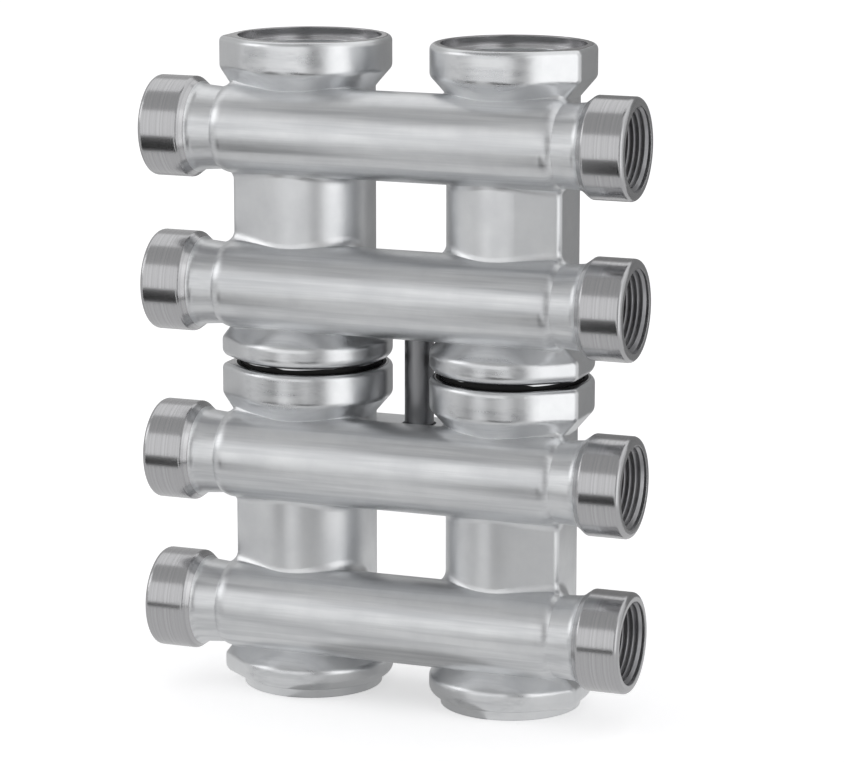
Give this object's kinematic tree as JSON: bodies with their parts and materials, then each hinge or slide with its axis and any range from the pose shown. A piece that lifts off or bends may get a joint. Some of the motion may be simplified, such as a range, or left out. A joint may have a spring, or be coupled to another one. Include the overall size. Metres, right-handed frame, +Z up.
{
  "type": "heating manifold",
  "caption": "Modular heating manifold: stacked metal castings with upright flow and return barrels, crossed in front by level outlet tubes with threaded collars, held by a tie bolt.",
  "frame": {"origin": "middle of the footprint, at the level of the lower lips that the manifold stands on", "axes": "+X along the outlet tubes to the right, +Y from the tubes to the back, +Z up along the barrels"},
  "size_m": [0.1614, 0.0584, 0.2128],
  "materials": {
    "cast_metal": "satin as cast, with bright turned collars and rings",
    "gasket_rubber": "matt sheet rubber",
    "bolt_steel": "dark oiled steel"
  },
  "bodies": {
    "root": {"lower_module": "cast_metal", "upper_module": "cast_metal", "left_gasket": "gasket_rubber", "right_gasket": "gasket_rubber", "tie_bolt": "bolt_steel", "upper_washer": "bolt_steel", "lower_washer": "bolt_steel", "tie_nut": "bolt_steel"}
  },
  "joints": []
}
